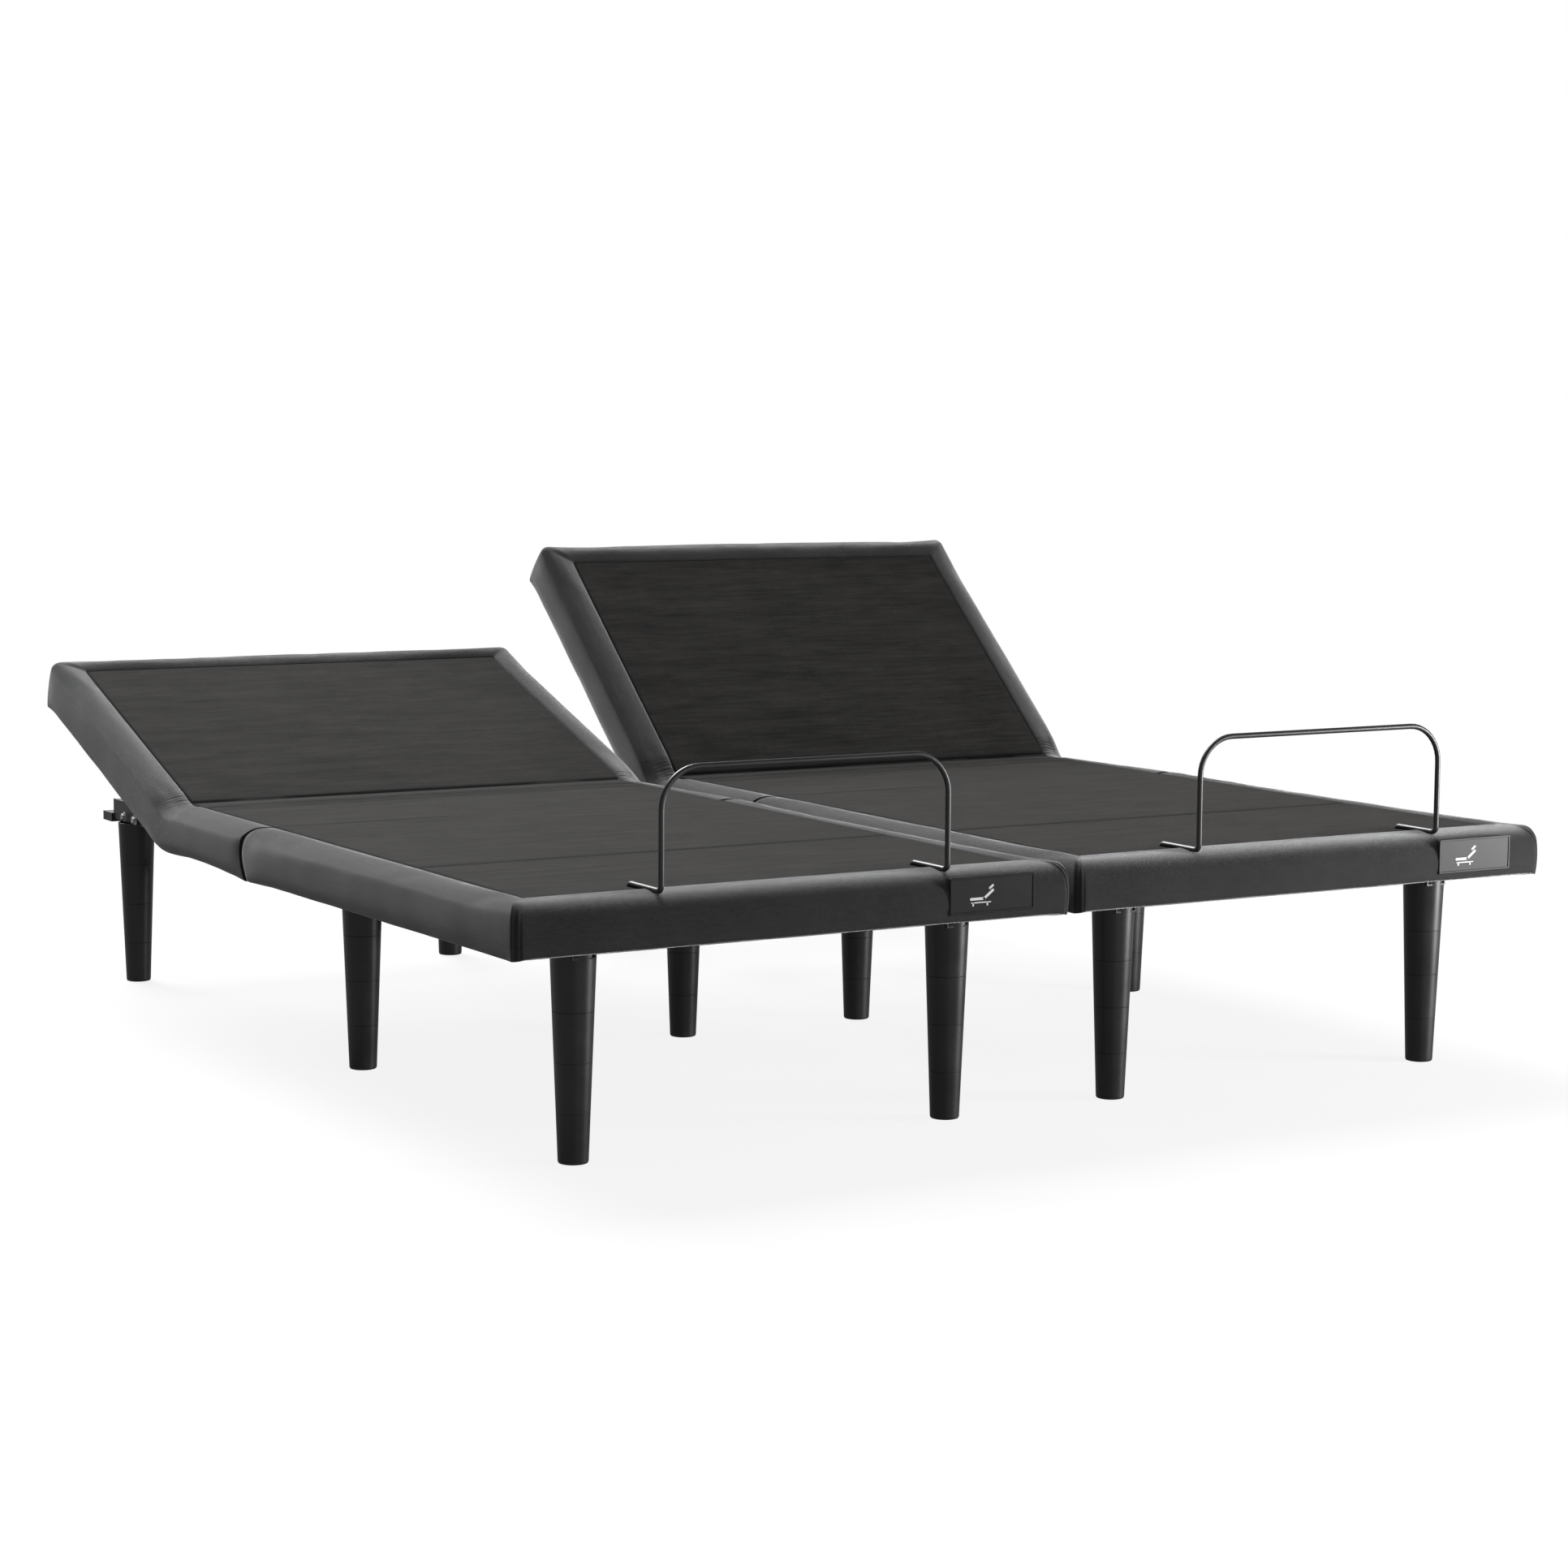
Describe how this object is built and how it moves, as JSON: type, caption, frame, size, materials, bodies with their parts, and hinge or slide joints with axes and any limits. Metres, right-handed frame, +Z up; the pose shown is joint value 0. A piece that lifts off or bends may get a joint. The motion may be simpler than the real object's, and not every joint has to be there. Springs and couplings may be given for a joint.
{
  "type": "adjustable bed base",
  "caption": "Split adjustable bed base: two half-width decks on tapered legs, each with a tilting head section, a lifting knee and a retainer bar.",
  "frame": {"origin": "on the floor, under the centre of the overall box, midway between the two halves", "axes": "+Y from the foot end to the head end, +Z up, +X to the right seen from the foot"},
  "size_m": [1.945, 2.062, 0.8191],
  "materials": {
    "border_fabric": "woven upholstery, mid grey, matt",
    "inset_fabric": "non-slip woven deck fabric, dark, matt",
    "plywood": "plain plywood",
    "black_steel": "satin black powder coat",
    "zinc_steel": "zinc-plated",
    "leg_plastic": "satin black moulded plastic",
    "motor_plastic": "black moulded plastic",
    "plaque_plastic": "dark plate with a raised rim"
  },
  "bodies": {
    "frame": {"foot_tie_plate": "zinc_steel", "head_tie_plate": "zinc_steel", "left_chassis": "black_steel", "left_seat_board": "plywood", "left_seat_cover": "border_fabric", "left_head_hinge_pin": "zinc_steel", "left_thigh_hinge_pin": "zinc_steel", "left_foot_leg_left": "leg_plastic", "left_foot_leg_right": "leg_plastic", "left_middle_leg_left": "leg_plastic", "left_middle_leg_right": "leg_plastic", "left_head_leg_left": "leg_plastic", "left_head_leg_right": "leg_plastic", "left_head_motor": "motor_plastic", "left_leg_motor": "motor_plastic", "left_control_box": "motor_plastic", "left_headboard_bar": "black_steel", "right_chassis": "black_steel", "right_seat_board": "plywood", "right_seat_cover": "border_fabric", "right_head_hinge_pin": "zinc_steel", "right_thigh_hinge_pin": "zinc_steel", "right_foot_leg_left": "leg_plastic", "right_foot_leg_right": "leg_plastic", "right_middle_leg_left": "leg_plastic", "right_middle_leg_right": "leg_plastic", "right_head_leg_left": "leg_plastic", "right_head_leg_right": "leg_plastic", "right_head_motor": "motor_plastic", "right_leg_motor": "motor_plastic", "right_control_box": "motor_plastic", "right_headboard_bar": "black_steel"},
    "left_head": {"left_head_board": "plywood", "left_head_cover": "border_fabric"},
    "left_head_lift": {"left_head_lift": "black_steel"},
    "left_head_rod": {"left_head_rod": "zinc_steel"},
    "left_thigh": {"left_thigh_board": "plywood", "left_thigh_cover": "border_fabric", "left_knee_hinge_pin": "zinc_steel"},
    "left_foot": {"left_foot_board": "plywood", "left_foot_cover": "border_fabric", "left_retainer_bar": "black_steel", "left_plaque": "plaque_plastic"},
    "left_leg_lift": {"left_leg_lift": "black_steel"},
    "left_leg_rod": {"left_leg_rod": "zinc_steel"},
    "left_foot_link": {"left_foot_link": "black_steel"},
    "right_head": {"right_head_board": "plywood", "right_head_cover": "border_fabric"},
    "right_head_lift": {"right_head_lift": "black_steel"},
    "right_head_rod": {"right_head_rod": "zinc_steel"},
    "right_thigh": {"right_thigh_board": "plywood", "right_thigh_cover": "border_fabric", "right_knee_hinge_pin": "zinc_steel"},
    "right_foot": {"right_foot_board": "plywood", "right_foot_cover": "border_fabric", "right_retainer_bar": "black_steel", "right_plaque": "plaque_plastic"},
    "right_leg_lift": {"right_leg_lift": "black_steel"},
    "right_leg_rod": {"right_leg_rod": "zinc_steel"},
    "right_foot_link": {"right_foot_link": "black_steel"}
  },
  "joints": [
    {"name": "left_head_hinge", "type": "hinge", "parent": "frame", "child": "left_head", "pos_m": [-0.49, 0.3578, 0.3993], "axis": [1, 0, 0], "range_deg": [-19.5, 42.5]},
    {"name": "left_head_lift_pivot", "type": "hinge", "parent": "frame", "child": "left_head_lift", "pos_m": [-0.49, 0.3635, 0.3283], "axis": [1, 0, 0], "range_deg": [-17.56, 38.26]},
    {"name": "left_head_rod_slide", "type": "slide", "parent": "frame", "child": "left_head_rod", "axis": [0, 1, 0], "range_m": [-0.03101, 0.06746]},
    {"name": "left_thigh_hinge", "type": "hinge", "parent": "frame", "child": "left_thigh", "pos_m": [-0.49, -0.0182, 0.3993], "axis": [-1, 0, 0], "range_deg": [0, 40]},
    {"name": "left_knee_hinge", "type": "hinge", "parent": "left_thigh", "child": "left_foot", "pos_m": [-0.49, -0.588, 0.3993], "axis": [1, 0, 0], "range_deg": [0, 60.01]},
    {"name": "left_leg_lift_pivot", "type": "hinge", "parent": "frame", "child": "left_leg_lift", "pos_m": [-0.49, 0.005, 0.3283], "axis": [-1, 0, 0], "range_deg": [0, 34.01]},
    {"name": "left_leg_rod_slide", "type": "slide", "parent": "frame", "child": "left_leg_rod", "axis": [0, -1, 0], "range_m": [0, 0.0615]},
    {"name": "left_foot_link_pivot", "type": "hinge", "parent": "frame", "child": "left_foot_link", "pos_m": [-0.49, -0.243, 0.3283], "axis": [-1, 0, 0], "range_deg": [0, 45.61]},
    {"name": "right_head_hinge", "type": "hinge", "parent": "frame", "child": "right_head", "pos_m": [0.49, 0.3578, 0.3993], "axis": [1, 0, 0], "range_deg": [-41.7, 20.3]},
    {"name": "right_head_lift_pivot", "type": "hinge", "parent": "frame", "child": "right_head_lift", "pos_m": [0.49, 0.3635, 0.3283], "axis": [1, 0, 0], "range_deg": [-37.54, 18.28]},
    {"name": "right_head_rod_slide", "type": "slide", "parent": "frame", "child": "right_head_rod", "axis": [0, 1, 0], "range_m": [-0.06619, 0.03227]},
    {"name": "right_thigh_hinge", "type": "hinge", "parent": "frame", "child": "right_thigh", "pos_m": [0.49, -0.0182, 0.3993], "axis": [-1, 0, 0], "range_deg": [0, 40]},
    {"name": "right_knee_hinge", "type": "hinge", "parent": "right_thigh", "child": "right_foot", "pos_m": [0.49, -0.588, 0.3993], "axis": [1, 0, 0], "range_deg": [0, 60.01]},
    {"name": "right_leg_lift_pivot", "type": "hinge", "parent": "frame", "child": "right_leg_lift", "pos_m": [0.49, 0.005, 0.3283], "axis": [-1, 0, 0], "range_deg": [0, 34.01]},
    {"name": "right_leg_rod_slide", "type": "slide", "parent": "frame", "child": "right_leg_rod", "axis": [0, -1, 0], "range_m": [0, 0.0615]},
    {"name": "right_foot_link_pivot", "type": "hinge", "parent": "frame", "child": "right_foot_link", "pos_m": [0.49, -0.243, 0.3283], "axis": [-1, 0, 0], "range_deg": [0, 45.61]}
  ],
  "couplings": [
    {"joint": "left_head_lift_pivot", "follows": "left_head_hinge", "ratio": 0.9},
    {"joint": "left_head_rod_slide", "follows": "left_head_hinge", "m_per_rad": 0.090809},
    {"joint": "left_knee_hinge", "follows": "left_thigh_hinge", "ratio": 1.5},
    {"joint": "left_leg_lift_pivot", "follows": "left_thigh_hinge", "ratio": 0.85},
    {"joint": "left_leg_rod_slide", "follows": "left_thigh_hinge", "m_per_rad": 0.087946},
    {"joint": "left_foot_link_pivot", "follows": "left_thigh_hinge", "ratio": 1.14},
    {"joint": "right_head_lift_pivot", "follows": "right_head_hinge", "ratio": 0.9},
    {"joint": "right_head_rod_slide", "follows": "right_head_hinge", "m_per_rad": 0.090809},
    {"joint": "right_knee_hinge", "follows": "right_thigh_hinge", "ratio": 1.5},
    {"joint": "right_leg_lift_pivot", "follows": "right_thigh_hinge", "ratio": 0.85},
    {"joint": "right_leg_rod_slide", "follows": "right_thigh_hinge", "m_per_rad": 0.087946},
    {"joint": "right_foot_link_pivot", "follows": "right_thigh_hinge", "ratio": 1.14}
  ]
}
